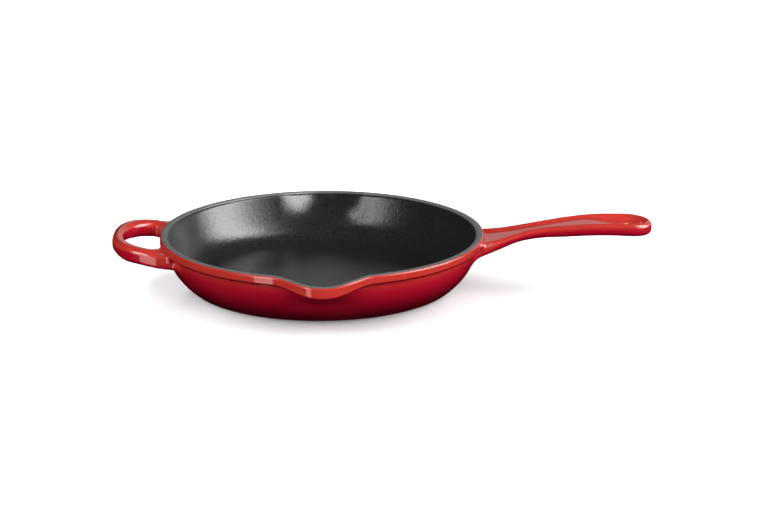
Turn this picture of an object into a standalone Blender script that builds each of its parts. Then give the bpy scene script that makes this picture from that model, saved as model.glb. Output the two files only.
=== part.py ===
"""Enamelled cast iron skillet, modelled as its castings and its coats of enamel.

Metres, +Z up. The origin is the centre of the flat base, on the surface that the pan stands on.
+X runs out along the long handle, -X to the helper handle, and the two spouts point along -Y and +Y.

The pan is turned about Z from a profile. The handles are lofted from sections that follow their plan
outline. Every shape has one visible skin; a coat is ENAMEL thick under it, and the iron lies CLEARANCE
below the coat.
"""

from math import cos, hypot, pi, radians, sin, sqrt

import bmesh
import bpy
import numpy as np

# Pan
RIM_HEIGHT = 0.042
RIM_RADIUS = 0.130
RIM_WIDTH = 0.005
LIP_RADIUS = 0.131
LIP_HEIGHT = 0.0075
BASE_RADIUS = 0.106
BASE_EDGE = 0.0008
FLOOR_HEIGHT = 0.005
WALL_TOP = 0.034
WALL_DRAFT, WALL_SWELL, WALL_POWER = 0.0038, 0.0160, 2.6
HOLLOW_RADIUS = 0.1015
HOLLOW_TOP = 0.0408
HOLLOW_DRAFT, HOLLOW_SWELL, HOLLOW_POWER = 0.0119, 0.0111, 6.0
WALL_STEPS, WALL_CROWD = 5, 1.3
HOLLOW_STEPS, HOLLOW_CROWD = 11, 1.5

# Coats
ENAMEL = 0.0005
CLEARANCE = 0.0003
IRON_INSET = ENAMEL + CLEARANCE

# Spouts, one at the front and one at the back
SPOUT_ANGLES = (-90.0, 90.0)
SPOUT_HALF_ANGLE = 18.0
SPOUT_OUT = 0.0135
SPOUT_DIP = 0.0036
SPOUT_START = 0.016
FINE_STEPS, COARSE_STEPS = 12, 20

# Long handle: (x, half width, top of the raised edge, underside) along its length
HANDLE_STATIONS = (
    (0.112, 0.0330, 0.0350, 0.0228),
    (0.120, 0.0300, 0.0357, 0.0245),
    (0.128, 0.0266, 0.0367, 0.0262),
    (0.136, 0.0232, 0.0378, 0.0284),
    (0.146, 0.0194, 0.0396, 0.0314),
    (0.156, 0.0162, 0.0419, 0.0346),
    (0.165, 0.0142, 0.0440, 0.0365),
    (0.177, 0.0139, 0.0462, 0.0380),
    (0.194, 0.0160, 0.0484, 0.0391),
    (0.210, 0.0180, 0.0499, 0.0403),
    (0.228, 0.0193, 0.0507, 0.0409),
    (0.248, 0.0195, 0.0504, 0.0402),
)
TIP_CENTRE = 0.2485
TIP_RADIUS = 0.0195
TIP_DROP = 0.0012
TIP_STEPS = (12, 24, 36, 48, 60, 72, 84)
RIDGE_ROUND, RIDGE_DROP = 0.0038, 0.0030
BELLY_ROUND, BELLY_RISE = 0.0060, 0.0042
DISH_START, DISH_END = 0.0031, 0.0080
DISH_DEPTH, DISH_EXTRA = 0.0022, 0.0028
DISH_DEEPENS = (0.215, 0.245)
TOP_SHARES = (-1, -0.93, -0.81, -0.66, -0.5, -0.25, 0, 0.25, 0.5, 0.66, 0.81, 0.93, 1)
BELLY_SHARES = (1, 0.9, 0.7, 0.35, 0, -0.35, -0.7, -0.9, -1)
EYE_RADIUS = 0.0048
EYE_CENTRES = (0.2505, 0.2590)
EYE_STEPS = 7
EYE_INSET = 1.7

# Helper handle: a loop between two superellipses, closed on the pan's wall
HELPER_CENTRE = -0.132
HELPER_OUTER = (0.0369, 0.0484, 2.5)
HELPER_INNER = (0.0285, 0.0360, 2.1)
HELPER_ROOT = ((-0.122, 0.0525, 0.0355), (-0.108, 0.0550, 0.0360))
HELPER_TOP = (0.0378, 0.0419)
HELPER_UNDERSIDE = (0.0259, 0.0303)
HELPER_ENDS = (-0.120, -0.160)
HELPER_LIFT, HELPER_LIFTED = 0.0036, (0.153, 0.170)
HELPER_ROUND = 0.0034
HELPER_STEPS = 14

ROOT_OVERRUN = 0.002


def clear_scene():
    for thing in list(bpy.data.objects):
        bpy.data.objects.remove(thing, do_unlink=True)


def smooth_step(value, start, end):
    share = min(max((value - start) / (end - start), 0.0), 1.0)
    return share * share * (3 - 2 * share)


def make_material(name, colour, roughness, metallic=0.0, coat=0.0):
    material = bpy.data.materials.new(name)
    material.use_nodes = True
    shader = material.node_tree.nodes["Principled BSDF"]
    shader.inputs["Base Color"].default_value = (*colour, 1.0)
    shader.inputs["Roughness"].default_value = roughness
    shader.inputs["Metallic"].default_value = metallic
    shader.inputs["Coat Weight"].default_value = coat
    return material


def make_object(name, points, faces, material=None):
    """A mesh object of flat triangles, with its normals facing out and its sharp edges marked."""
    mesh = bpy.data.meshes.new(name)
    mesh.from_pydata([tuple(p) for p in points], [], faces)
    work = bmesh.new()
    work.from_mesh(mesh)
    bmesh.ops.triangulate(work, faces=work.faces)
    bmesh.ops.recalc_face_normals(work, faces=work.faces)
    work.to_mesh(mesh)
    work.free()
    mesh.shade_smooth()
    mesh.set_sharp_from_angle(angle=radians(35))
    if material:
        mesh.materials.append(material)
    made = bpy.data.objects.new(name, mesh)
    bpy.context.scene.collection.objects.link(made)
    return made


def as_cutter(cutter):
    cutter.hide_render = True
    cutter.display_type = "WIRE"
    return cutter


def cut(target, cutter):
    """Takes the cutter's volume away from the target."""
    boolean = target.modifiers.new(f"cut_{cutter.name}", "BOOLEAN")
    boolean.operation = "DIFFERENCE"
    boolean.solver = "EXACT"
    boolean.object = cutter


# ---------------------------------------------------------------- the pan, turned about Z


def wall_curve(radius, bottom, top, draft, swell, power, steps, crowd):
    """(r, z) up a wall that leaves the floor at a slant and turns steep towards the rim."""
    curve = []
    for step in range(steps + 1):
        share = (step / steps) ** crowd
        swelling = swell * (1 - (1 - share) ** power)
        curve.append((radius + draft * share + swelling, bottom + (top - bottom) * share))
    return curve


def outer_profile():
    """The visible skin outside, from the edge of the base up over the lip band."""
    shape = (WALL_DRAFT, WALL_SWELL, WALL_POWER, WALL_STEPS, WALL_CROWD)
    wall = wall_curve(BASE_RADIUS, 0.0, WALL_TOP, *shape)
    wall[0] = (BASE_RADIUS + BASE_EDGE, BASE_EDGE)
    lip_foot = RIM_HEIGHT - LIP_HEIGHT
    lip = [
        (LIP_RADIUS - 0.0026, lip_foot + 0.0001),
        (LIP_RADIUS - 0.0006, lip_foot + 0.0012),
        (LIP_RADIUS, lip_foot + 0.0036),
        (RIM_RADIUS + 0.0006, RIM_HEIGHT - 0.0009),
    ]
    return wall + lip


def inner_profile():
    """The visible skin inside, from the rim's inner edge down to the centre of the floor."""
    shape = (HOLLOW_DRAFT, HOLLOW_SWELL, HOLLOW_POWER, HOLLOW_STEPS, HOLLOW_CROWD)
    hollow = wall_curve(HOLLOW_RADIUS, FLOOR_HEIGHT, HOLLOW_TOP, *shape)
    corner = [(HOLLOW_RADIUS + 0.0005, FLOOR_HEIGHT + 0.0004)]
    floor = [(HOLLOW_RADIUS - 0.0045, FLOOR_HEIGHT), (0.0, FLOOR_HEIGHT)]
    return hollow[:0:-1] + corner + floor


def rim_profile():
    """The visible top of the rim, from its inner edge to its outer edge."""
    inner = RIM_RADIUS - RIM_WIDTH
    return [
        (inner + 0.0004, RIM_HEIGHT - 0.0009),
        (inner + 0.0022, RIM_HEIGHT),
        (RIM_RADIUS - 0.0008, RIM_HEIGHT),
        (RIM_RADIUS + 0.0002, RIM_HEIGHT - 0.0005),
    ]


def offset(profile, distance):
    """The profile moved to its left by distance. A point on the axis only moves along Z."""
    moved = []
    for index, point in enumerate(profile):
        before = profile[max(index - 1, 0)]
        after = profile[min(index + 1, len(profile) - 1)]
        arms = [np.subtract(point, before), np.subtract(after, point)]
        arms = [arm / hypot(*arm) for arm in arms if hypot(*arm) > 0]
        normals = [np.array((-arm[1], arm[0])) for arm in arms]
        mean = sum(normals) / len(normals)
        shift = mean / mean.dot(mean) * distance
        moved.append((max(point[0] + shift[0], 0.0), point[1] + shift[1]))
        if point[0] == 0.0:
            moved[-1] = (0.0, point[1] + distance * normals[0][1])
    return moved


def ring_angles():
    """The angles of the pan's facets: close together at the spouts, wider between them."""
    angles = []
    for spout in SPOUT_ANGLES:
        start = spout - SPOUT_HALF_ANGLE
        end = spout + SPOUT_HALF_ANGLE
        gap = 180.0 - 2 * SPOUT_HALF_ANGLE
        angles += [start + (end - start) * i / FINE_STEPS for i in range(FINE_STEPS)]
        angles += [end + gap * i / COARSE_STEPS for i in range(COARSE_STEPS)]
    return angles


def spout_share(angle, z):
    """How much of the spout's full throw a point has, by its angle and its height."""
    share = 0.0
    for spout in SPOUT_ANGLES:
        away = abs((angle - spout + 180.0) % 360.0 - 180.0) / SPOUT_HALF_ANGLE
        if away < 1.0:
            share = cos(pi / 2 * away) ** 2
    return share * smooth_step(z, SPOUT_START, RIM_HEIGHT)


def turned(name, profile, material=None, spouts=True):
    """A closed solid turned from a closed (r, z) profile; points on the axis become one vertex each."""
    angles = ring_angles()
    points, rows = [], []
    for radius, z in profile:
        if radius == 0.0:
            rows.append([len(points)] * len(angles))
            points.append((0.0, 0.0, z))
            continue
        rows.append(list(range(len(points), len(points) + len(angles))))
        for angle in angles:
            share = spout_share(angle, z) if spouts else 0.0
            reach = radius + SPOUT_OUT * share
            turn = radians(angle)
            points.append((reach * cos(turn), reach * sin(turn), z - SPOUT_DIP * share))
    faces = []
    for low, high in zip(rows, rows[1:] + rows[:1]):
        for i in range(len(angles)):
            j = (i + 1) % len(angles)
            corners = [low[i], low[j], high[j], high[i]]
            face = list(dict.fromkeys(corners))
            if len(face) > 2:
                faces.append(face)
    return make_object(name, points, faces, material)


def make_pan_casting(material):
    """Floor, wall, lip and spouts in one casting, under the coats on every side."""
    outside = offset(outer_profile(), IRON_INSET)
    top = offset(rim_profile(), -IRON_INSET)
    inside = offset(inner_profile(), IRON_INSET)
    base = [(0.0, IRON_INSET), (BASE_RADIUS - 0.0012, IRON_INSET)]
    return turned("pan_casting", base + outside[1:-1] + top[::-1] + inside, material)


def make_skin(name, profile, side, material):
    """A coat of enamel under a visible profile, which lies on the given side of it."""
    under = offset(profile, side * ENAMEL)
    return turned(name, profile + under[::-1], material)


def make_base_coat(material):
    edge = BASE_RADIUS - 0.0012
    profile = [(0.0, 0.0), (edge - 0.0004, 0.0), (edge, ENAMEL), (0.0, ENAMEL)]
    return turned("base_coat", profile, material)


def make_envelope():
    """The space that the pan fills with its coats, up past the rim: the handles end against it."""
    skin = offset(outer_profile(), -CLEARANCE)
    reach = LIP_RADIUS + CLEARANCE
    profile = [(0.0, -0.002), (BASE_RADIUS + CLEARANCE, -0.002)]
    profile += skin[:-1] + [(reach, RIM_HEIGHT + 0.02), (0.0, RIM_HEIGHT + 0.02)]
    return as_cutter(turned("pan_envelope", profile, spouts=False))


# ---------------------------------------------------------------- lofted handles


def lofted(name, rings, material=None):
    """A closed solid through rings of points, with a flat cap on its first and last ring."""
    count = len(rings[0])
    points = [point for ring in rings for point in ring]
    faces = [list(range(count)), list(range(len(points) - count, len(points)))]
    for row in range(len(rings) - 1):
        start = row * count
        for i in range(count):
            j = (i + 1) % count
            faces.append([start + i, start + j, start + count + j, start + count + i])
    return make_object(name, points, faces, material)


def quarter_round(depth, width):
    """How far an elliptical edge of the given width has fallen, as a share, at a depth in from it."""
    share = min(max(depth / width, 0.0), 1.0)
    return 1 - sqrt(1 - (1 - share) ** 2)


def handle_rows(inset, overrun):
    """(x, half width, top, underside) of each section, brought in by the inset."""
    rows = [(x, w - inset, top - inset, low + inset) for x, w, top, low in HANDLE_STATIONS]
    first = rows[0]
    rows[0] = (first[0] - overrun, *first[1:])
    radius = TIP_RADIUS - inset
    top, low = rows[-1][2:]
    for step in TIP_STEPS:
        along = sin(radians(step))
        rows.append(
            (
                TIP_CENTRE + radius * along,
                radius * cos(radians(step)),
                top - TIP_DROP * along**2,
                low - TIP_DROP * along**2,
            )
        )
    return rows


def edge_depth(x, y, half_width, inset):
    """How far a point of the plan lies inside the handle's outline."""
    if x > TIP_CENTRE:
        return TIP_RADIUS - inset - hypot(x - TIP_CENTRE, y)
    return half_width - abs(y)


def handle_ring(row, inset):
    """One section: a raised edge either side of a dished grip, over a rounded belly."""
    x, half_width, top, low = row
    dish = DISH_DEPTH + DISH_EXTRA * smooth_step(x, *DISH_DEEPENS)
    ring = []
    for share in TOP_SHARES:
        y = share * half_width
        depth = edge_depth(x, y, half_width, inset)
        fall = (RIDGE_DROP - inset) * quarter_round(depth, RIDGE_ROUND - inset)
        fall += dish * smooth_step(depth, DISH_START - inset, DISH_END - inset)
        ring.append((x, y, top - fall))
    for share in BELLY_SHARES:
        y = share * half_width
        depth = edge_depth(x, y, half_width, inset)
        rise = (BELLY_RISE - inset) * quarter_round(depth, BELLY_ROUND - inset)
        ring.append((x, y, low + rise))
    return ring


def eye_cutter(name, radius):
    """The hanging eye: an upright slot with round ends."""
    outline = []
    for centre, start in ((EYE_CENTRES[1], -90), (EYE_CENTRES[0], 90)):
        for step in range(EYE_STEPS + 1):
            turn = radians(start + 180 / EYE_STEPS * step)
            outline.append((centre + radius * cos(turn), radius * sin(turn)))
    rings = [[(x, y, z) for x, y in outline] for z in (0.02, 0.07)]
    return as_cutter(lofted(name, rings))


def handle_solid(name, inset, overrun=0.0, material=None):
    rings = [handle_ring(row, inset) for row in handle_rows(inset, overrun)]
    solid = lofted(name, rings, material)
    cut(solid, eye_cutter(f"eye_{name}", EYE_RADIUS + EYE_INSET * inset))
    return solid


def superellipse(size, turn):
    """A point of the loop's plan, from +Y round the far end to -Y, and its distance along X."""
    along, across, power = size
    x = HELPER_CENTRE - along * abs(cos(turn)) ** (2 / power)
    y = across * abs(sin(turn)) ** (2 / power)
    return x, y if turn < 0 else -y


def helper_rows(overrun):
    """(outer point, inner point) of each section round the loop."""
    near, end = (np.array(station) for station in HELPER_ROOT)
    end += (end - near) * overrun / (end[0] - near[0])
    start = [((x, outer), (x, inner)) for x, outer, inner in (end, near)]
    loop = []
    for step in range(HELPER_STEPS + 1):
        turn = pi * (step / HELPER_STEPS - 0.5)
        loop.append((superellipse(HELPER_OUTER, turn), superellipse(HELPER_INNER, turn)))
    other = [tuple((x, -y) for x, y in row) for row in reversed(start)]
    return start + loop + other


def helper_height(x, heights):
    share = smooth_step(-x, -HELPER_ENDS[0], -HELPER_ENDS[1])
    return heights[0] + (heights[1] - heights[0]) * share


def helper_underside(x):
    return helper_height(x, HELPER_UNDERSIDE) + HELPER_LIFT * smooth_step(-x, *HELPER_LIFTED)


def helper_ring(row, inset):
    """One section of the loop's bar: a rectangle with rounded corners."""
    outer, inner = (np.array(point) for point in row)
    width = hypot(*(outer - inner))
    across = (outer - inner) / width
    soft, nick = HELPER_ROUND, HELPER_ROUND * 0.3
    reach = [width - inset, width - nick - inset, width - soft - inset]
    reach += [soft + inset, nick + inset, inset]
    falls = [soft, nick, 0.0, 0.0, nick, soft]
    ring = []
    for far, fall in zip(reach, falls):
        x, y = inner + across * far
        ring.append((x, y, helper_height(x, HELPER_TOP) - inset - fall))
    for far, fall in zip(reach[::-1], falls):
        x, y = inner + across * far
        ring.append((x, y, helper_underside(x) + inset + fall))
    return ring


def helper_solid(name, inset, overrun=0.0, material=None):
    rings = [helper_ring(row, inset) for row in helper_rows(overrun)]
    return lofted(name, rings, material)


def make_handle(name, solid, envelope, iron, enamel):
    """A handle's casting and the coat round it, which is open where the handle meets the pan."""
    casting = solid(f"{name}_casting", IRON_INSET, material=iron)
    cut(casting, envelope)
    coat = solid(f"{name}_enamel", 0.0, material=enamel)
    cavity = as_cutter(solid(f"{name}_cavity", ENAMEL, overrun=ROOT_OVERRUN))
    cut(coat, cavity)
    cut(coat, envelope)


def main():
    clear_scene()
    iron = make_material("cast_iron", (0.045, 0.043, 0.042), 0.55, metallic=0.9)
    red = make_material("red_enamel", (0.46, 0.018, 0.022), 0.12, coat=0.6)
    black = make_material("black_enamel", (0.022, 0.022, 0.023), 0.36)
    grey = make_material("rim_coat", (0.13, 0.13, 0.13), 0.42)
    matt = make_material("base_coat", (0.016, 0.015, 0.016), 0.5)
    make_pan_casting(iron)
    make_skin("exterior_enamel", outer_profile(), 1, red)
    make_skin("interior_enamel", inner_profile(), 1, black)
    make_skin("rim_coat", rim_profile(), -1, grey)
    make_base_coat(matt)
    envelope = make_envelope()
    make_handle("main_handle", handle_solid, envelope, iron, red)
    make_handle("helper_handle", helper_solid, envelope, iron, red)


main()
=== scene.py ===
"""Looks of the enamelled cast iron skillet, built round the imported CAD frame.

The red enamel is one smooth skin over the pan and both handles, found as the zero surface of a field
that blends the three castings with fillets. The black liner, the rim and the base are turned about Z.
Metres, +Z up, the frame of the CAD model.
"""

from math import cos, pi, radians, sin

import bpy
import numpy as np
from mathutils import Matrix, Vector


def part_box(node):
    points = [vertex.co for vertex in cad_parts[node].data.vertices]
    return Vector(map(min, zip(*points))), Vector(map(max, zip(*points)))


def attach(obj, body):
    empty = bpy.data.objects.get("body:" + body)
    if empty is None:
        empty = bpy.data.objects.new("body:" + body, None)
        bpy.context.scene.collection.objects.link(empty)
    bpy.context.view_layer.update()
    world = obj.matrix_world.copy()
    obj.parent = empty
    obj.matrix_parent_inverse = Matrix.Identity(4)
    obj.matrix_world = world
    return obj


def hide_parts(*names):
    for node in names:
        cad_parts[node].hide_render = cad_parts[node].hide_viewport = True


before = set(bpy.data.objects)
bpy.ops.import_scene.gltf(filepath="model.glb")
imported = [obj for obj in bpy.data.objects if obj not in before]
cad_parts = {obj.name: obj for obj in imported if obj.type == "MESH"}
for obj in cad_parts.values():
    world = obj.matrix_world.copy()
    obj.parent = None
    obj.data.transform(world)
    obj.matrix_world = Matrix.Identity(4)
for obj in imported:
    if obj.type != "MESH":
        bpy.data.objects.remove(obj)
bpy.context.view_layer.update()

MM = 0.001
CASTINGS = ("pan_casting", "main_handle_casting", "helper_handle_casting")
HANDLE_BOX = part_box("main_handle_enamel")
HELPER_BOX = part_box("helper_handle_enamel")
SKIN_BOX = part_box("exterior_enamel")

# The pan
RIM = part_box("rim_coat")[1][2]
LIP_RADIUS = SKIN_BOX[1][0]
RIM_RADIUS = LIP_RADIUS - 1.0 * MM
RIM_WIDTH = 5.0 * MM
LIP_FOOT = RIM - 7.4 * MM
BASE_RADIUS = 106 * MM
WALL_TOP = 34 * MM
WALL_SLANT, WALL_SWELL, WALL_POWER = 3.8 * MM, 16.0 * MM, 2.6
FLOOR = 5 * MM
HOLLOW_RADIUS = 101.5 * MM
HOLLOW_TOP = 41 * MM
HOLLOW_SLANT, HOLLOW_SWELL, HOLLOW_POWER = 12.0 * MM, 11.1 * MM, 6
SKIN = 0.5 * MM
COAT_STEP = 0.25 * MM

# How far each edge of the pan is rounded
LIP_ROUND, CREASE_ROUND, TOP_ROUND, BASE_ROUND = 2.0 * MM, 0.5 * MM, 1.6 * MM, 1.2 * MM
BASE_GAP = 0.15 * MM

# Spouts, front and back
SPOUT_HALF_ANGLE = radians(18)
SPOUT_OUT = 13.5 * MM
SPOUT_DIP = 3.6 * MM
SPOUT_DEEPER = 2.0 * MM
SPOUT_START = 16 * MM

# Long handle: x, half width, top of the raised edge, underside
TIP_RADIUS = 19.5 * MM
TIP_CENTRE = HANDLE_BOX[1][0] - TIP_RADIUS
HANDLE = np.array(
    [
        (110, 34.0, 35.0, 22.0),
        (120, 30.0, 35.8, 24.3),
        (128, 26.6, 36.8, 26.0),
        (136, 23.2, 37.8, 28.2),
        (146, 19.4, 39.6, 31.2),
        (156, 16.2, 41.9, 34.4),
        (166, 14.2, 44.2, 36.4),
        (177, 13.9, 46.2, 37.9),
        (194, 16.0, 48.4, 39.1),
        (210, 18.0, 49.9, 40.3),
        (228, 19.3, 50.7, 40.9),
        (248, 19.5, 50.4, 40.2),
        (258, 19.5, 50.0, 39.5),
        (270, 19.5, 49.2, 38.2),
    ]
) * MM
HANDLE_BELLY = 0.4 * MM
DISH_DEPTH, DISH_DEEPER = 2.2, 2.6
DISH_DEEPENS = (212 * MM, 246 * MM)
DISH_EDGE = (3.4 * MM, 9.0 * MM)
EDGE_ROUND, BELLY_ROUND = 4.4 * MM, 5.6 * MM
EYE_RADIUS, EYE_ROUND = 4.8 * MM, 2.6 * MM
EYE = (250.5 * MM, 259 * MM)

# Helper handle
HELPER_CENTRE = -132 * MM
HELPER_OUTER = (abs(HELPER_BOX[0][0]) + HELPER_CENTRE, 48.4 * MM, 2.7)
HELPER_INNER = (28.5 * MM, 36 * MM, 2.1)
HELPER_TOP, HELPER_RISE = 38.7, 3.9
HELPER_LOW, HELPER_LOW_RISE, HELPER_LIFT = 25.7, 4.3, 3.6
HELPER_RISES, HELPER_LIFTS = (120 * MM, 160 * MM), (153 * MM, 170 * MM)
HELPER_CROWN, CROWN_REACH, CROWN_LIMIT = 0.9 * MM, 11 * MM, 1.2
HELPER_ROUND, HELPER_LOW_ROUND = 3.0 * MM, 3.8 * MM

# Its outside widens towards the pan, more at the root, and a web fills the opening's corners
FLARE_START, FLARE_RUN, FLARE, FLARE_SOFT = -148 * MM, 17 * MM, 0.3, 10 * MM
ROOT_START, ROOT_RUN, ROOT_FLARE = -131 * MM, 25 * MM, 0.2
WEB_START, WEB_RUN, WEB = -139 * MM, 16 * MM, 87.0

# Fillets between the handles and the pan, wider below
FILLET, FILLET_WIDER = 2.6 * MM, 3.4 * MM
FILLET_HEIGHTS = (26 * MM, 36 * MM)

# Where the red skin is split: how far past the pan, and how far to each side the handles reach
SPLIT_OUT = 2.0 * MM
HANDLE_REACH, HELPER_REACH = 40 * MM, 70 * MM

# How far, in and down, the red skin reaches under the rim's coat and the base's coat
RIM_LAP, RIM_LAP_DEPTH = 0.9 * MM, 1.5 * MM
BASE_LAP, BASE_LAP_DEPTH = 1.6 * MM, 1.0 * MM


# ---------------------------------------------------------------- small maths


def smooth_max(a, b, reach):
    """The larger of two fields, rounded where they are within reach of each other."""
    near = np.maximum(reach - np.abs(a - b), 0.0) / reach
    return np.maximum(a, b) + near * near * reach * 0.25


def smooth_min(a, b, reach):
    return -smooth_max(-a, -b, reach)


def ramp(value, start, end):
    share = np.clip((value - start) / (end - start), 0.0, 1.0)
    return share * share * (3 - 2 * share)


def spline(xs, ys):
    """A natural cubic spline through the points, as a function of arrays."""
    xs, ys = np.asarray(xs, float), np.asarray(ys, float)
    h = np.diff(xs)
    count = len(xs)
    system = np.eye(count)
    right = np.zeros(count)
    for i in range(1, count - 1):
        system[i, i - 1 : i + 2] = h[i - 1], 2 * (h[i - 1] + h[i]), h[i]
        right[i] = 6 * ((ys[i + 1] - ys[i]) / h[i] - (ys[i] - ys[i - 1]) / h[i - 1])
    bend = np.linalg.solve(system, right)

    def at(x):
        x = np.clip(x, xs[0], xs[-1])
        i = np.clip(np.searchsorted(xs, x) - 1, 0, count - 2)
        a, b = xs[i + 1] - x, x - xs[i]
        curve = (bend[i] * a**3 + bend[i + 1] * b**3) / (6 * h[i])
        curve += (ys[i] / h[i] - bend[i] * h[i] / 6) * a
        return curve + (ys[i + 1] / h[i] - bend[i + 1] * h[i] / 6) * b

    return at


# ---------------------------------------------------------------- shapes as fields


def wall_radius(z):
    """The outside of the wall: a slant off the base that turns steep towards the rim."""
    share = np.clip(z / WALL_TOP, 0.0, 1.3)
    swell = 1 - np.maximum(1 - share, 0.0) ** WALL_POWER
    return BASE_RADIUS + WALL_SLANT * share + WALL_SWELL * swell


def hollow_radius(z):
    """The inside of the wall: a soft corner off the floor, then an even slant to the rim."""
    share = np.clip((z - FLOOR) / (HOLLOW_TOP - FLOOR), 0.0, 1.0)
    swell = 1 - (1 - share) ** HOLLOW_POWER
    return HOLLOW_RADIUS + HOLLOW_SLANT * share + HOLLOW_SWELL * swell


def spout_bump(angle):
    """How much of the spout's full throw the rim has at an angle round the pan."""
    away = np.minimum(np.abs(np.abs(angle) - pi / 2) / SPOUT_HALF_ANGLE, 1.0)
    return np.cos(pi / 2 * away) ** 2


def spout_share(angle, z):
    """The spout's throw at an angle and a height: it swells out of the wall towards the rim."""
    return spout_bump(angle) * ramp(z, SPOUT_START, RIM)


def pan_field(x, y, z):
    """The pan as a solid disc: slanted wall, thickened lip with a crease under it, and spouts."""
    angle, reach = np.arctan2(y, x), np.hypot(x, y)
    share, bump = spout_share(angle, z), spout_bump(angle)
    share = spout_share(angle, z + SPOUT_DIP * share)
    h = z + SPOUT_DIP * share
    slope = (wall_radius(h + 0.2 * MM) - wall_radius(h - 0.2 * MM)) / (0.4 * MM)
    body = (reach - SPOUT_OUT * share - wall_radius(h)) / np.sqrt(1 + slope**2)
    top = z + SPOUT_DIP * bump - (RIM - COAT_STEP)
    foot = LIP_FOOT - SPOUT_DIP * bump - SPOUT_DEEPER * bump - z
    lip = smooth_max(reach - SPOUT_OUT * bump - LIP_RADIUS, foot, LIP_ROUND)
    pan = smooth_min(body, lip, CREASE_ROUND)
    pan = smooth_max(pan, top, TOP_ROUND)
    return smooth_max(pan, BASE_GAP - h, BASE_ROUND)


half_width = spline(HANDLE[:, 0], HANDLE[:, 1])
handle_top = spline(HANDLE[:, 0], HANDLE[:, 2])
handle_low = spline(HANDLE[:, 0], HANDLE[:, 3])


def handle_depth(x, y):
    """How far a point of the plan lies inside the long handle's outline."""
    straight = half_width(x) - np.abs(y)
    slope = (half_width(x + 0.5 * MM) - half_width(x - 0.5 * MM)) / MM
    straight = straight / np.sqrt(1 + slope**2)
    tip = TIP_RADIUS - np.hypot(x - TIP_CENTRE, y)
    return np.where(x > TIP_CENTRE, tip, straight)


def handle_field(x, y, z):
    """The long handle: a raised edge round a dished grip, over a rounded belly, with its eye."""
    depth = handle_depth(x, y)
    dish = (DISH_DEPTH + DISH_DEEPER * ramp(x, *DISH_DEEPENS)) * MM
    top = handle_top(x) - dish * ramp(depth, *DISH_EDGE)
    low = handle_low(x) - HANDLE_BELLY
    solid = smooth_max(-depth, z - top, EDGE_ROUND)
    solid = smooth_max(solid, low - z, BELLY_ROUND)
    along = np.clip(x, *EYE)
    eye = np.hypot(x - along, y) - EYE_RADIUS
    return smooth_max(solid, -eye, EYE_ROUND)


def loop_depth(x, y, size, flare):
    """How far a point lies inside a superellipse that runs straight on towards the pan."""
    along, across, power = size
    u = np.maximum(HELPER_CENTRE - x, 0.0) / along
    v = np.maximum(np.abs(y) - flare, 0.0) / across
    level = (u**power + v**power) ** (1 / power) + 1e-9
    steep_x = (u / level) ** (power - 1) / along
    steep_y = (v / level) ** (power - 1) / across
    return (1 - level) / np.sqrt(steep_x**2 + steep_y**2 + 1e-9)


def helper_field(x, y, z):
    """The loop-shaped helper handle with its finger opening."""
    past = np.clip(x - FLARE_START, 0.0, FLARE_RUN)
    flare = FLARE * past**2 / (past + FLARE_SOFT)
    flare = flare + ROOT_FLARE * np.clip(x - ROOT_START, 0.0, ROOT_RUN)
    web = WEB * np.clip(x - WEB_START, 0.0, WEB_RUN) ** 2
    outside = -loop_depth(x, y, HELPER_OUTER, flare)
    inside = loop_depth(x, y, HELPER_INNER, -web)
    crown = HELPER_CROWN * np.clip((inside - outside) / CROWN_REACH, -CROWN_LIMIT, CROWN_LIMIT) ** 2
    plan = smooth_max(outside, inside, 1 * MM)
    rise = ramp(-x, *HELPER_RISES)
    top = (HELPER_TOP + HELPER_RISE * rise) * MM - crown
    end = ramp(-x, *HELPER_LIFTS)
    low = (HELPER_LOW + HELPER_LOW_RISE * rise + HELPER_LIFT * end) * MM
    solid = smooth_max(plan, z - top, HELPER_ROUND)
    return smooth_max(solid, low - z, HELPER_LOW_ROUND)


def casting_field(x, y, z):
    """The pan and both handles, with fillets that are small on top and wide underneath."""
    fillet = FILLET + FILLET_WIDER * (1 - ramp(z, *FILLET_HEIGHTS))
    pan = pan_field(x, y, z)
    handle = np.where(x > 0, handle_field(x, y, z), 1.0)
    helper = np.where(x < 0, helper_field(x, y, z), 1.0)
    return smooth_min(smooth_min(pan, handle, fillet), helper, fillet)


def steepest(field, points, step=0.04 * MM):
    """The field's unit gradient at each point."""
    x, y, z = points.T
    gradient = np.stack(
        [
            field(x + step, y, z) - field(x - step, y, z),
            field(x, y + step, z) - field(x, y - step, z),
            field(x, y, z + step) - field(x, y, z - step),
        ],
        axis=1,
    ) / (2 * step)
    size = np.maximum(np.linalg.norm(gradient, axis=1), 1e-6)
    return gradient / size[:, None], size


def settle(field, points, rounds=5):
    """Moves points onto the field's zero surface."""
    for _ in range(rounds):
        normal, size = steepest(field, points)
        value = field(*points.T)
        points = points - normal * np.clip(value / size, -0.6 * MM, 0.6 * MM)[:, None]
    return points


def crossing_places(values, cells, corners):
    """The mean place, in grid steps, of the points where the surface crosses each cell's edges."""
    total = np.zeros((len(cells), 3))
    hits = np.zeros(len(cells))
    for corner in corners:
        for axis in range(3):
            if corner[axis]:
                continue
            start = values[tuple((cells + corner).T)]
            end = values[tuple((cells + corner + np.eye(3, dtype=int)[axis]).T)]
            crossed = (start < 0) != (end < 0)
            where = np.tile(np.array(corner, float), (len(cells), 1))
            where[:, axis] += start / np.where(crossed, start - end, 1.0)
            total[crossed] += where[crossed]
            hits += crossed
    return cells + total / hits[:, None]


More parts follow.
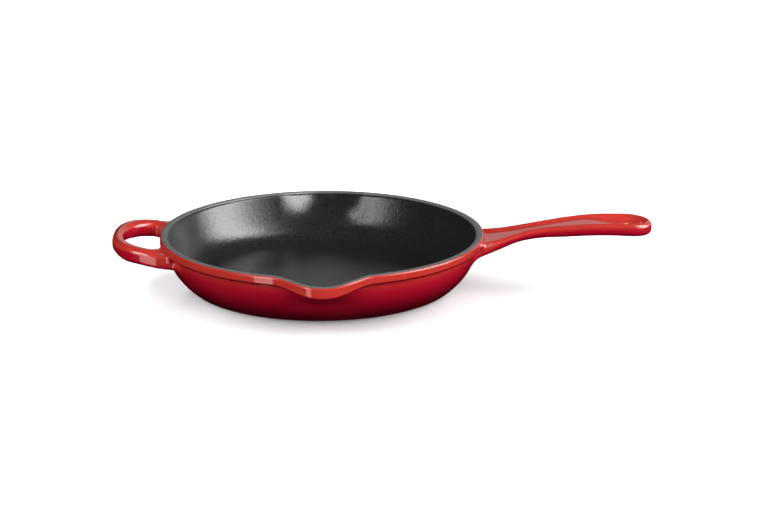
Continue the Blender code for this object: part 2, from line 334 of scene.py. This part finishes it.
def joined_cells(solid, cells, counts):
    """A quad for each crossed grid edge, from the numbers of the four cells round it."""
    number = -np.ones(counts, int)
    number[tuple(cells.T)] = np.arange(len(cells))
    quads = []
    for axis in range(3):
        ahead = solid[1:] if axis == 0 else np.roll(solid, -1, axis)[:-1]
        crossed = solid[:-1] != ahead
        crossed[:, [0, -1]] = False
        crossed[:, :, [0, -1]] = False
        nodes = np.argwhere(crossed)
        one, two = np.eye(3, dtype=int)[[(axis + 1) % 3, (axis + 2) % 3]]
        ring = [nodes, nodes - one, nodes - one - two, nodes - two]
        for cell in ring:
            cell[:, 0] %= counts[0]
        quads.append(np.stack([number[tuple(cell.T)] for cell in ring], axis=1))
    return np.concatenate(quads)


def net(field, angles, radii, heights):
    """The zero surface of a field as quads, one corner in each crossed cell of a polar grid."""
    turn, reach, height = np.ix_(angles, radii, heights)
    values = field(reach * np.cos(turn), reach * np.sin(turn), height)
    values = np.concatenate([values, values[:1]])
    solid = values < 0
    counts = np.array(values.shape) - 1
    corners = [(a, b, c) for a in (0, 1) for b in (0, 1) for c in (0, 1)]
    filled = sum(
        solid[a : a + counts[0], b : b + counts[1], c : c + counts[2]].astype(np.int8)
        for a, b, c in corners
    )
    cells = np.argwhere((filled > 0) & (filled < len(corners)))
    place = crossing_places(values, cells, corners)
    turns = np.interp(place[:, 0], range(len(angles) + 1), [*angles, angles[0] + 2 * pi])
    reaches = np.interp(place[:, 1], range(len(radii)), radii)
    levels = np.interp(place[:, 2], range(len(heights)), heights)
    points = np.stack([reaches * np.cos(turns), reaches * np.sin(turns), levels], axis=1)
    points = settle(field, points)
    normals = steepest(field, points)[0]
    quads = joined_cells(solid, cells, counts)
    a, b, c, d = (points[quads[:, i]] for i in range(4))
    facing = (np.cross(c - a, d - b) * normals[quads[:, 0]]).sum(axis=1)
    quads[facing < 0] = quads[facing < 0][:, ::-1]
    return points, normals, quads


# ---------------------------------------------------------------- meshes


# The pan's reach with its spouts, how far they lift the shade, and from where up
PAN_REACH, SPOUT_SHADE = 150 * MM, 1.3
SPOUT_SHADES = (29 * MM, 33 * MM)

# The painted shade line in the crease under the lip: its height over the crease and its outer edge in
# mm, and its loss at a spout
CREASE_SHADE_HEIGHT, CREASE_SHADE_EDGE, CREASE_SHADE_LESS_AT_SPOUT = 0.5, (-0.3, 1.2), 0.7


def colour_height(points):
    """The height that sets the red enamel's shade: the spouts count as high as the rest of the rim."""
    x, y, z = points.T
    bump = spout_bump(np.arctan2(y, x)) * (np.hypot(x, y) < PAN_REACH)
    return z + SPOUT_SHADE * SPOUT_DIP * bump * ramp(z, *SPOUT_SHADES)


def painted_crease_shade(points):
    """How strongly painted shade darkens the crease under the lip, from 0 to 1 at each point."""
    x, y, z = points.T
    bump = spout_bump(np.arctan2(y, x))
    height = (z - LIP_FOOT + (SPOUT_DIP + SPOUT_DEEPER) * bump) / MM
    outward = (np.hypot(x, y) - SPOUT_OUT * bump - LIP_RADIUS) / MM
    near = np.exp(-((height - CREASE_SHADE_HEIGHT) ** 2))
    at_spout = CREASE_SHADE_LESS_AT_SPOUT * ramp(bump, 0.3, 0.8)
    return near * (1 - ramp(outward, *CREASE_SHADE_EDGE)) * (1 - at_spout)


def make_piece(name, points, faces, normals=None):
    mesh = bpy.data.meshes.new(name)
    mesh.from_pydata(points.tolist(), [], faces.tolist() if hasattr(faces, "tolist") else faces)
    mesh.shade_smooth()
    if normals is not None:
        mesh.normals_split_custom_set_from_vertices(normals.tolist())
    piece = bpy.data.objects.new(name, mesh)
    bpy.context.scene.collection.objects.link(piece)
    return piece


def closed_skin(name, points, normals, quads, thickness):
    """A closed coat: the quads' surface, a copy under it, and a wall along their border."""
    used, quads = np.unique(quads, return_inverse=True)
    quads = quads.reshape(-1, 4)
    points, normals = points[used], normals[used]
    count = len(points)
    edges = np.concatenate([quads[:, [i, (i + 1) % 4]] for i in range(4)])
    keys = np.sort(edges, axis=1)
    _, index, times = np.unique(keys, axis=0, return_index=True, return_counts=True)
    rim = edges[index[times == 1]]
    wall = np.stack([rim[:, 1], rim[:, 0], rim[:, 0] + count, rim[:, 1] + count], axis=1)
    faces = np.concatenate([quads, quads[:, ::-1] + count, wall])
    both = np.concatenate([points, points - normals * thickness])
    return make_piece(name, both, faces, np.concatenate([normals, -normals]))


def spaced(*stretches):
    """Grid lines: (start, end, step) stretches joined end to end, without the last line."""
    lines = []
    for start, end, step in stretches:
        count = max(round((end - start) / step), 1)
        lines += [start + (end - start) * i / count for i in range(count)]
    return np.array(lines)


def red_skin():
    """The whole red skin as points, normals and quads, finest at the roots of the handles."""
    fine = 1
    angles = np.radians(
        spaced(
            (-180, -146, 0.45 * fine),
            (-146, -14, 1.0 * fine),
            (-14, 14, 0.22 * fine),
            (14, 146, 1.0 * fine),
            (146, 180, 0.45 * fine),
        )
    )
    radii = spaced((0.098, 0.133, 0.8 * MM * fine), (0.133, 0.274, 1.0 * MM * fine))
    heights = spaced((-0.003, 0.026, 0.8 * MM * fine), (0.026, 0.056, 0.6 * MM * fine))
    return net(casting_field, angles, radii, heights)


def shade(piece):
    """Stores on each point what sets the red enamel's colour there."""
    corners = np.empty(len(piece.data.vertices) * 3)
    piece.data.vertices.foreach_get("co", corners)
    for label, values in (("painted_crease_shade", painted_crease_shade), ("colour_height", colour_height)):
        layer = piece.data.attributes.new(label, "FLOAT", "POINT")
        layer.data.foreach_set("value", values(corners.reshape(-1, 3)).astype(np.float32))


def make_red_enamel():
    """The red skin, split into the pan's coat and the coats of the two handles."""
    points, normals, quads = red_skin()
    x, y, z = points[quads].mean(axis=1).T
    bump = spout_bump(np.arctan2(y, x))
    r, h = np.hypot(x, y) - SPOUT_OUT * bump, z + SPOUT_DIP * bump
    hidden = (r < RIM_RADIUS - RIM_LAP) & (h > RIM - RIM_LAP_DEPTH)
    hidden |= (r < BASE_RADIUS - BASE_LAP) & (h < BASE_LAP_DEPTH)
    outward = r - np.maximum(wall_radius(h), np.where(h > LIP_FOOT, LIP_RADIUS, 0))
    handle = (x > 0) & (outward > SPLIT_OUT) & (np.abs(y) < HANDLE_REACH)
    helper = (x < 0) & (outward > SPLIT_OUT) & (np.abs(y) < HELPER_REACH)
    pan = ~(handle | helper | hidden)
    made = []
    for name, chosen, node in (
        ("pan_red_enamel", pan, "exterior_enamel"),
        ("long_handle_red_enamel", handle, "main_handle_enamel"),
        ("helper_loop_red_enamel", helper, "helper_handle_enamel"),
    ):
        piece = closed_skin(name, points, normals, quads[chosen], SKIN)
        shade(piece)
        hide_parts(node)
        made.append(piece)
    return made


def spout_angles():
    """Angles round the pan, closer together at the spouts."""
    return np.radians(
        spaced(
            (-180, -110, 1.4),
            (-110, -70, 0.5),
            (-70, 70, 1.4),
            (70, 110, 0.5),
            (110, 180, 1.4),
        )
    )


def turned(name, profile):
    """A closed coat turned about Z from a closed (r, z) profile, with the spouts in it."""
    angles = spout_angles()
    points, rows = [], []
    for radius, z in profile:
        row = np.arange(len(angles)) + len(points)
        if radius <= 0:
            row = np.full(len(angles), len(points))
            points.append((0.0, 0.0, z))
        else:
            share = spout_share(angles, z)
            reach = radius + SPOUT_OUT * share
            points += zip(reach * np.cos(angles), reach * np.sin(angles), z - SPOUT_DIP * share)
        rows.append(row)
    faces = []
    for low, high in zip(rows, rows[1:] + rows[:1]):
        for i in range(len(angles)):
            j = (i + 1) % len(angles)
            face = list(dict.fromkeys([low[i], low[j], high[j], high[i]]))
            if len(face) > 2:
                faces.append([int(corner) for corner in face])
    return make_piece(name, np.array(points), faces)


def rounded(corners, steps=6):
    """A smooth open curve that leaves and meets the first and last corner and rounds the others."""
    corners = [np.array(c, float) for c in corners]
    curve = [corners[0]]
    for before, corner, after in zip(corners, corners[1:], corners[2:]):
        start, end = (before + corner) / 2, (corner + after) / 2
        for step in range(steps + 1):
            t = step / steps
            curve.append((1 - t) ** 2 * start + 2 * t * (1 - t) * corner + t * t * end)
    curve.append(corners[-1])
    keep = [curve[0]]
    for point in curve[1:]:
        if np.linalg.norm(point - keep[-1]) > 0.02 * MM:
            keep.append(point)
    return keep


def under(profile, distance):
    """The profile moved to its left by a distance; a point on the axis stays on it."""
    moved = []
    for i, point in enumerate(profile):
        arm = profile[min(i + 1, len(profile) - 1)] - profile[max(i - 1, 0)]
        normal = np.array((-arm[1], arm[0])) / np.linalg.norm(arm)
        if point[0] <= 0:
            moved.append(np.array((0.0, point[1] - distance)))
        else:
            moved.append(point + normal * distance)
    return moved


def make_liner():
    """The black coat inside: the floor, a soft corner and a slanted wall up to the rim."""
    floor = [(r * MM, FLOOR) for r in (0, 12, 30, 50, 70, 85, 97)]
    rise = (HOLLOW_TOP - 0.1 * MM - FLOOR) * np.linspace(0, 1, 34) ** 1.9
    wall = [(hollow_radius(z), z) for z in FLOOR + rise]
    profile = [np.array(point) for point in floor + wall][::-1]
    piece = turned("black_liner", profile + under(profile, SKIN)[::-1])
    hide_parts("interior_enamel")
    return piece


def make_rim():
    """The grey top of the rim: a matt flat outside and a smoother bevel inside."""
    inner = RIM_RADIUS - RIM_WIDTH
    top = rounded(
        [
            (inner - 0.45 * MM, RIM - 1.5 * MM),
            (inner + 0.2 * MM, RIM - 0.3 * MM),
            (inner + 1.6 * MM, RIM - 0.05 * MM),
            (inner + 2.2 * MM, RIM),
            (RIM_RADIUS - 0.5 * MM, RIM),
            (RIM_RADIUS + 0.12 * MM, RIM - 0.5 * MM),
        ],
        5,
    )
    piece = turned("grey_rim", top[::-1] + under(top, -SKIN))
    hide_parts("rim_coat")
    return piece


def make_base():
    """The matt coat of the flat underside, with a rounded edge."""
    edge = BASE_RADIUS - 1.2 * MM
    side = rounded([(edge - 1.5 * MM, 0), (edge, 0), (edge, SKIN)], 5)
    flat = [np.array((r * MM, 0.0)) for r in (0, 20, 50, 80)]
    piece = turned("matt_base", flat + side + [np.array((0.0, SKIN))])
    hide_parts("base_coat")
    return piece


# ---------------------------------------------------------------- materials


class Shader:
    """A node material with a Principled shader, and short calls to add nodes to it."""

    def __init__(self, name, **sockets):
        self.material = bpy.data.materials.new(name)
        self.material.use_nodes = True
        self.tree = self.material.node_tree
        self.base = self.tree.nodes["Principled BSDF"]
        for socket, value in sockets.items():
            self.base.inputs[socket.replace("_", " ")].default_value = value

    def node(self, kind, **inputs):
        made = self.tree.nodes.new(kind)
        for socket, value in inputs.items():
            self.put(made.inputs[socket.replace("_", " ")], value)
        return made

    def put(self, socket, value):
        if hasattr(value, "is_output"):
            self.tree.links.new(value, socket)
        else:
            socket.default_value = value

    def place(self):
        return self.node("ShaderNodeTexCoord").outputs["Object"]

    def attribute(self, name):
        made = self.node("ShaderNodeAttribute")
        made.attribute_name = name
        return made.outputs["Fac"]

    def noise(self, scale, detail=3.0, roughness=0.5):
        made = self.node("ShaderNodeTexNoise", Scale=scale, Detail=detail, Roughness=roughness)
        self.put(made.inputs["Vector"], self.place())
        return made.outputs["Fac"]

    def ramp(self, value, stops):
        made = self.node("ShaderNodeValToRGB", Fac=value)
        points = made.color_ramp.elements
        while len(points) < len(stops):
            points.new(0.5)
        for point, (position, colour) in zip(points, stops):
            point.position = position
            point.color = (*colour, 1.0) if len(colour) == 3 else colour
        return made.outputs["Color"]

    def span(self, value, low, high, to_low, to_high):
        made = self.node("ShaderNodeMapRange", Value=value)
        ends = {"From Min": low, "From Max": high, "To Min": to_low, "To Max": to_high}
        for socket, number in ends.items():
            made.inputs[socket].default_value = number
        return made.outputs["Result"]

    def mix(self, share, one, two):
        made = self.node("ShaderNodeMix")
        made.data_type = "RGBA"
        self.put(made.inputs["Factor"], share)
        for socket, value in (("A", one), ("B", two)):
            sockets = [s for s in made.inputs if s.name == socket and s.type == "RGBA"]
            self.put(sockets[0], value)
        return [s for s in made.outputs if s.type == "RGBA"][0]

    def bump(self, height, strength, distance, before=None):
        made = self.node("ShaderNodeBump", Height=height, Strength=strength, Distance=distance)
        if before is not None:
            self.put(made.inputs["Normal"], before)
        return made.outputs["Normal"]

    def finish(self, **sockets):
        for socket, value in sockets.items():
            self.put(self.base.inputs[socket.replace("_", " ")], value)
        return self.material


# The red enamel's colours from darkest to lightest, partly its real grading and partly painted shade
# low on the wall
BLACK_RED = (0.09, 0.0, 0.007)
CRIMSON = (0.30, 0.0, 0.016)
SCARLET = (0.46, 0.003, 0.021)
ORANGE_RED = (0.57, 0.038, 0.028)
CLOUD_RED = (0.62, 0.03, 0.02)

# Its level on that scale: from base to rim, raised as painted light on a surface that faces up, and
# lowered out on the handles
LEVEL_AT_BASE, LEVEL_AT_RIM = 0.30, 0.88
PAINTED_LIGHT_ON_UPWARD_FACES = 0.5
HANDLE_DROP = -0.30


def grey(level):
    return (level, level, level, 1.0)


def red_enamel():
    """Gloss enamel, orange red at the lip to black red at the base, partly its real grading and partly
    painted shade, with painted light on upward faces and painted shade in the crease.
    """
    shader = Shader(
        "red_enamel", Coat_Weight=1.0, Coat_Roughness=0.04, Coat_IOR=1.5, Specular_IOR_Level=0.1
    )
    height = shader.attribute("colour_height")
    facing = shader.node("ShaderNodeNewGeometry").outputs["Normal"]
    facing = shader.node("ShaderNodeSeparateXYZ", Vector=facing).outputs["Z"]
    # Darker towards the base: partly the enamel's real grading, partly painted shade on the lower wall
    # and at the base
    level = shader.span(height, 0.0, RIM, LEVEL_AT_BASE, LEVEL_AT_RIM)
    along = shader.node("ShaderNodeSeparateXYZ", Vector=shader.place()).outputs["X"]
    away = shader.node("ShaderNodeMath")
    away.operation = "ABSOLUTE"
    shader.put(away.inputs[0], along)
    # Darker out on the handles: painted shade on their sides
    handle_darkening = shader.span(away.outputs["Value"], 134 * MM, 150 * MM, 0.0, HANDLE_DROP)
    deeper = shader.node("ShaderNodeMath")
    shader.put(deeper.inputs[0], level)
    shader.put(deeper.inputs[1], handle_darkening)
    level = deeper.outputs["Value"]
    # Painted light: a surface that faces up is lifted towards orange red, as if lit from above
    lift = shader.node("ShaderNodeMath")
    lift.operation = "MULTIPLY_ADD"
    for socket, value in zip(lift.inputs, (facing, PAINTED_LIGHT_ON_UPWARD_FACES, level)):
        shader.put(socket, value)
    stops = [(0.0, BLACK_RED), (0.30, CRIMSON), (0.55, SCARLET), (0.78, ORANGE_RED)]
    colour = shader.ramp(lift.outputs["Value"], stops)
    cloud = shader.span(shader.noise(18, 2), 0.3, 0.7, 0.0, 0.10)
    colour = shader.mix(cloud, colour, (*CLOUD_RED, 1))
    # Painted shade: the crease under the lip is darkened towards black red
    share = shader.span(shader.attribute("painted_crease_shade"), 0.0, 0.8, 0.0, 1.0)
    colour = shader.mix(share, colour, (*BLACK_RED, 1))
    peel = shader.noise(170, 2)
    normal = shader.bump(peel, 0.05, 0.4 * MM)
    return shader.finish(
        Base_Color=colour,
        Roughness=shader.span(shader.noise(60, 2), 0.3, 0.7, 0.26, 0.36),
        Normal=normal,
    )


def black_enamel():
    """Satin black enamel with a fine pebbled skin."""
    shader = Shader("black_enamel", IOR=1.5)
    pebbles = shader.noise(430, 3, 0.6)
    swell = shader.noise(90, 2)
    normal = shader.bump(swell, 0.14, 1.0 * MM)
    normal = shader.bump(pebbles, 0.6, 0.35 * MM, normal)
    tone = shader.span(pebbles, 0.3, 0.75, 0.0, 1.0)
    colour = shader.mix(tone, grey(0.014), grey(0.024))
    rough = shader.span(shader.noise(300, 4), 0.25, 0.75, 0.19, 0.27)
    return shader.finish(Base_Color=colour, Roughness=rough, Normal=normal)


def rim_coat():
    """Thin grey ground coat on the rim, slightly speckled."""
    shader = Shader("rim_coat", IOR=1.45)
    speck = shader.noise(1400, 3, 0.6)
    colour = shader.mix(shader.span(speck, 0.35, 0.7, 0.0, 1.0), grey(0.11), grey(0.20))
    normal = shader.bump(shader.noise(500, 3), 0.15, 0.2 * MM)
    facing = shader.node("ShaderNodeNewGeometry").outputs["Normal"]
    facing = shader.node("ShaderNodeSeparateXYZ", Vector=facing).outputs["Z"]
    rough = shader.span(facing, 0.75, 0.99, 0.24, 0.5)
    return shader.finish(Base_Color=colour, Roughness=rough, Normal=normal)


def base_coat():
    """Matt black coat of the underside, with a faint orange peel."""
    shader = Shader("base_coat", IOR=1.45)
    grain = shader.noise(260, 3)
    colour = shader.mix(grain, grey(0.010), grey(0.028))
    rough = shader.span(grain, 0.3, 0.7, 0.42, 0.55)
    return shader.finish(
        Base_Color=colour, Roughness=rough, Normal=shader.bump(grain, 0.2, 0.3 * MM)
    )


def cast_iron():
    """The bare castings under the enamel."""
    shader = Shader("cast_iron", Metallic=0.9)
    grain = shader.noise(900, 4, 0.6)
    colour = shader.mix(grain, (0.035, 0.033, 0.032, 1), (0.07, 0.066, 0.063, 1))
    rough = shader.span(grain, 0.3, 0.7, 0.5, 0.7)
    return shader.finish(
        Base_Color=colour, Roughness=rough, Normal=shader.bump(grain, 0.4, 0.2 * MM)
    )


def dress(piece, material):
    """Gives a piece one material over all of it."""
    piece.data.materials.clear()
    piece.data.materials.append(material)


# ---------------------------------------------------------------- stage, light and camera


# The floor reaches this far each way, just under the pan, and glows faintly
FLOOR_REACH, FLOOR_GAP, FLOOR_GLOW = 12.0, 0.05 * MM, 0.12
STUDIO_LEVEL = 0.22

# How far the lights stand from the pan, and the heights of the panels seen in the gloss
PANEL_DISTANCE, BACK_DISTANCE, FILL_DISTANCE = 1.5, 2.0, 3.0
PANEL_LOW, RIGHT_PANEL_HIGH, LEFT_PANEL_HIGH = 0.16, 1.95, 1.45


def aim(thing, place, target):
    thing.location = place
    thing.rotation_euler = (Vector(target) - Vector(place)).to_track_quat("-Z", "Y").to_euler()


def make_light(name, turn, distance, low, high, width, watts, gloss=False, tilt=0, only=None):
    """A soft panel, turned a number of degrees from the front to the right, low and high in metres.

    One for gloss shows only in reflections and the others only light the surfaces. A panel may
    light only the objects of one collection.
    """
    lamp = bpy.data.lights.new(name, "AREA")
    lamp.shape = "RECTANGLE"
    lamp.size, lamp.size_y = width, high - low
    lamp.energy = watts
    made = bpy.data.objects.new(name, lamp)
    bpy.context.scene.collection.objects.link(made)
    height = (low + high) / 2
    place = (distance * sin(radians(turn)), -distance * cos(radians(turn)), height)
    aim(made, place, (0, 0, height))
    made.rotation_euler.x -= radians(tilt)
    made.visible_diffuse = not gloss
    made.visible_glossy = gloss
    made.visible_camera = False
    if only is not None:
        made.light_linking.receiver_collection = only
    return made


def make_stage():
    """A plain white floor, which the gloss doesn't mirror, in a dim studio."""
    mesh = bpy.data.meshes.new("floor")
    signs = ((-1, -1), (1, -1), (1, 1), (-1, 1))
    corners = [(FLOOR_REACH * a, FLOOR_REACH * b, 0) for a, b in signs]
    mesh.from_pydata(corners, [], [(0, 1, 2, 3)])
    floor = bpy.data.objects.new("floor", mesh)
    floor.location.z = -FLOOR_GAP
    floor.visible_glossy = False
    floor.visible_diffuse = False
    bpy.context.scene.collection.objects.link(floor)
    shader = Shader("floor", Roughness=0.9, Specular_IOR_Level=0.1)
    grain = shader.noise(2.0, 2)
    pale = shader.mix(grain, grey(0.82), grey(0.84))
    dress(floor, shader.finish(Base_Color=pale, Emission_Color=grey(1.0), Emission_Strength=FLOOR_GLOW))
    world = bpy.data.worlds.new("studio")
    world.use_nodes = True
    world.node_tree.nodes["Background"].inputs["Color"].default_value = grey(STUDIO_LEVEL)
    world.cycles_visibility.glossy = False
    bpy.context.scene.world = world
    return floor


def group(name, members):
    """A collection that a light can be limited to."""
    made = bpy.data.collections.new(name)
    for member in members:
        made.objects.link(member)
    return made


def make_lights(floor, pieces, red, glossy):
    """Gloss panels for the reflections, fills for the object, and a broad soft light for the floor."""
    near, low, high = PANEL_DISTANCE, PANEL_LOW, RIGHT_PANEL_HIGH
    for turn, width, watts in ((86, 0.75, 23), (84, 1.30, 33), (80, 1.95, 24)):
        make_light("right_panel", turn, near, low, high, width, watts, gloss=True)
    make_light("right_panel_top", 88, near, high, 3.5, 0.9, 27, gloss=True)
    make_light("left_panel", -40, near, low, LEFT_PANEL_HIGH, 0.32, 9, gloss=True)
    make_light("left_panel_edge", -50, near, low, LEFT_PANEL_HIGH, 0.40, 4, gloss=True)
    make_light("left_panel_low", -40, near, -0.75, low, 0.32, 2.8, gloss=True, only=red)
    make_light("back_panel", 155, BACK_DISTANCE, 0.0, 1.0, 2.8, 4, gloss=True, only=glossy)
    far = FILL_DISTANCE
    make_light("right_fill", 64, far, 0.6, 1.8, 4.4, 122, tilt=20, only=pieces)
    make_light("left_fill", -45, far, 0.6, 1.8, 2.4, 55, tilt=20, only=pieces)
    make_light("overhead", 180, 0.2, 0.7, 3.1, 2.4, 11, tilt=90, only=pieces)
    make_light("floor_overhead", 180, 0.1, -3.5, 6.5, 10.0, 50, tilt=90, only=floor)
    for side in (-140, -88, 88, 140):
        make_light("floor_side", side, far, 0.15, 3.3, 3.0, 141, tilt=30, only=floor)


def make_camera():
    """The camera of the reference view: low, a long lens, a little to the left of square on."""
    lens, sensor = 97.46, 36.0
    distance, azimuth, elevation = 1.685, radians(-1.73), radians(16.5)
    target = Vector((0.04894, 0.0, RIM - 0.0206))
    away = Vector(
        (sin(azimuth) * cos(elevation), -cos(azimuth) * cos(elevation), sin(elevation))
    )
    camera = bpy.data.cameras.new("camera")
    camera.lens, camera.sensor_width = lens, sensor
    made = bpy.data.objects.new("camera", camera)
    bpy.context.scene.collection.objects.link(made)
    aim(made, target + away * distance, target)
    bpy.context.scene.camera = made


def main():
    make_camera()
    floor = make_stage()
    red, black = red_enamel(), black_enamel()
    coats = make_red_enamel()
    for coat in coats:
        dress(coat, red)
    liner, rim, base = make_liner(), make_rim(), make_base()
    dress(liner, black)
    dress(rim, rim_coat())
    dress(base, base_coat())
    pieces = [*coats, liner, rim, base]
    for piece in pieces:
        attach(piece, "root")
    iron = cast_iron()
    castings = [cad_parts[name] for name in CASTINGS]
    for casting in castings:
        dress(casting, iron)
    lit = group("pan_pieces", [*pieces, *castings])
    red_pieces, glossy_pieces = group("red_pieces", coats), group("glossy_pieces", [*coats, liner])
    make_lights(group("floor_pieces", [floor]), lit, red_pieces, glossy_pieces)
    bpy.context.scene.view_settings.view_transform = "Standard"


main()
